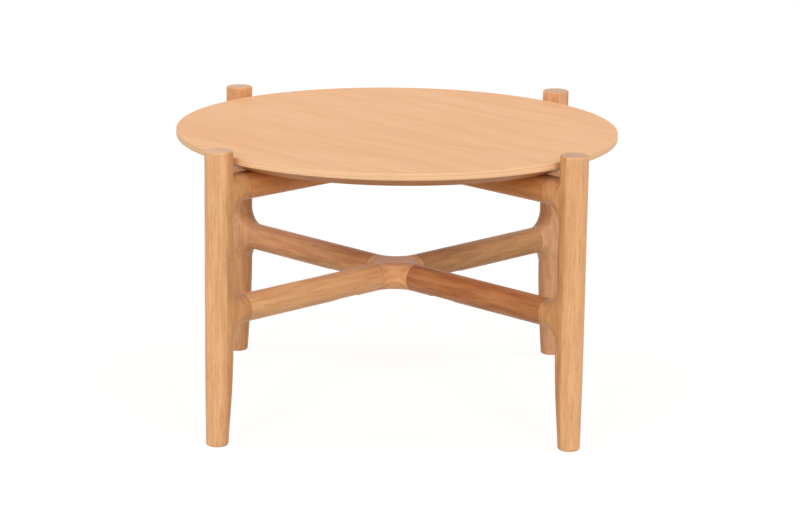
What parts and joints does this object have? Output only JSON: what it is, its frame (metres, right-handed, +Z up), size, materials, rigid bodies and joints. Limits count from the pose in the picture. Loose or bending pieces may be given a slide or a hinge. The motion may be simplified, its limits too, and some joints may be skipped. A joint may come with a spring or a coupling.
{
  "type": "low round table",
  "caption": "Low round wooden table: a bevelled disc top between corner posts, on crossed round rails and stretchers joined by carved hubs.",
  "frame": {"origin": "on the floor, at the middle of the table", "axes": "+Z up, front towards -Y; the legs stand on the diagonals between +X and +Y"},
  "size_m": [0.75, 0.75, 0.492],
  "materials": {
    "top_oak": "clear matt lacquer on oak veneer with a solid oak edge",
    "leg_oak": "clear matt lacquer on solid oak",
    "bar_oak": "clear matt lacquer on solid oak",
    "hub_oak": "clear matt lacquer on solid oak",
    "beech": "raw beech dowel",
    "steel": "zinc plated",
    "brass": "turned brass"
  },
  "bodies": {
    "root": {"table_top": "top_oak", "leg_back_right": "leg_oak", "stretcher_back_right": "bar_oak", "rail_back_right": "bar_oak", "leg_back_left": "leg_oak", "stretcher_back_left": "bar_oak", "rail_back_left": "bar_oak", "leg_front_left": "leg_oak", "stretcher_front_left": "bar_oak", "rail_front_left": "bar_oak", "leg_front_right": "leg_oak", "stretcher_front_right": "bar_oak", "rail_front_right": "bar_oak", "stretcher_hub": "hub_oak", "rail_hub": "hub_oak", "stretcher_draw_bolt_back_right": "steel", "stretcher_draw_washer_back_right": "steel", "stretcher_hub_insert_back_right": "brass", "stretcher_hub_dowel_back_right": "beech", "rail_draw_bolt_back_right": "steel", "rail_draw_washer_back_right": "steel", "rail_hub_insert_back_right": "brass", "rail_hub_dowel_back_right": "beech", "top_bolt_back_right": "steel", "top_washer_back_right": "steel", "top_insert_back_right": "brass", "stretcher_draw_bolt_back_left": "steel", "stretcher_draw_washer_back_left": "steel", "stretcher_hub_insert_back_left": "brass", "stretcher_hub_dowel_back_left": "beech", "rail_draw_bolt_back_left": "steel", "rail_draw_washer_back_left": "steel", "rail_hub_insert_back_left": "brass", "rail_hub_dowel_back_left": "beech", "top_bolt_back_left": "steel", "top_washer_back_left": "steel", "top_insert_back_left": "brass", "stretcher_draw_bolt_front_left": "steel", "stretcher_draw_washer_front_left": "steel", "stretcher_hub_insert_front_left": "brass", "stretcher_hub_dowel_front_left": "beech", "rail_draw_bolt_front_left": "steel", "rail_draw_washer_front_left": "steel", "rail_hub_insert_front_left": "brass", "rail_hub_dowel_front_left": "beech", "top_bolt_front_left": "steel", "top_washer_front_left": "steel", "top_insert_front_left": "brass", "stretcher_draw_bolt_front_right": "steel", "stretcher_draw_washer_front_right": "steel", "stretcher_hub_insert_front_right": "brass", "stretcher_hub_dowel_front_right": "beech", "rail_draw_bolt_front_right": "steel", "rail_draw_washer_front_right": "steel", "rail_hub_insert_front_right": "brass", "rail_hub_dowel_front_right": "beech", "top_bolt_front_right": "steel", "top_washer_front_right": "steel", "top_insert_front_right": "brass"}
  },
  "joints": []
}
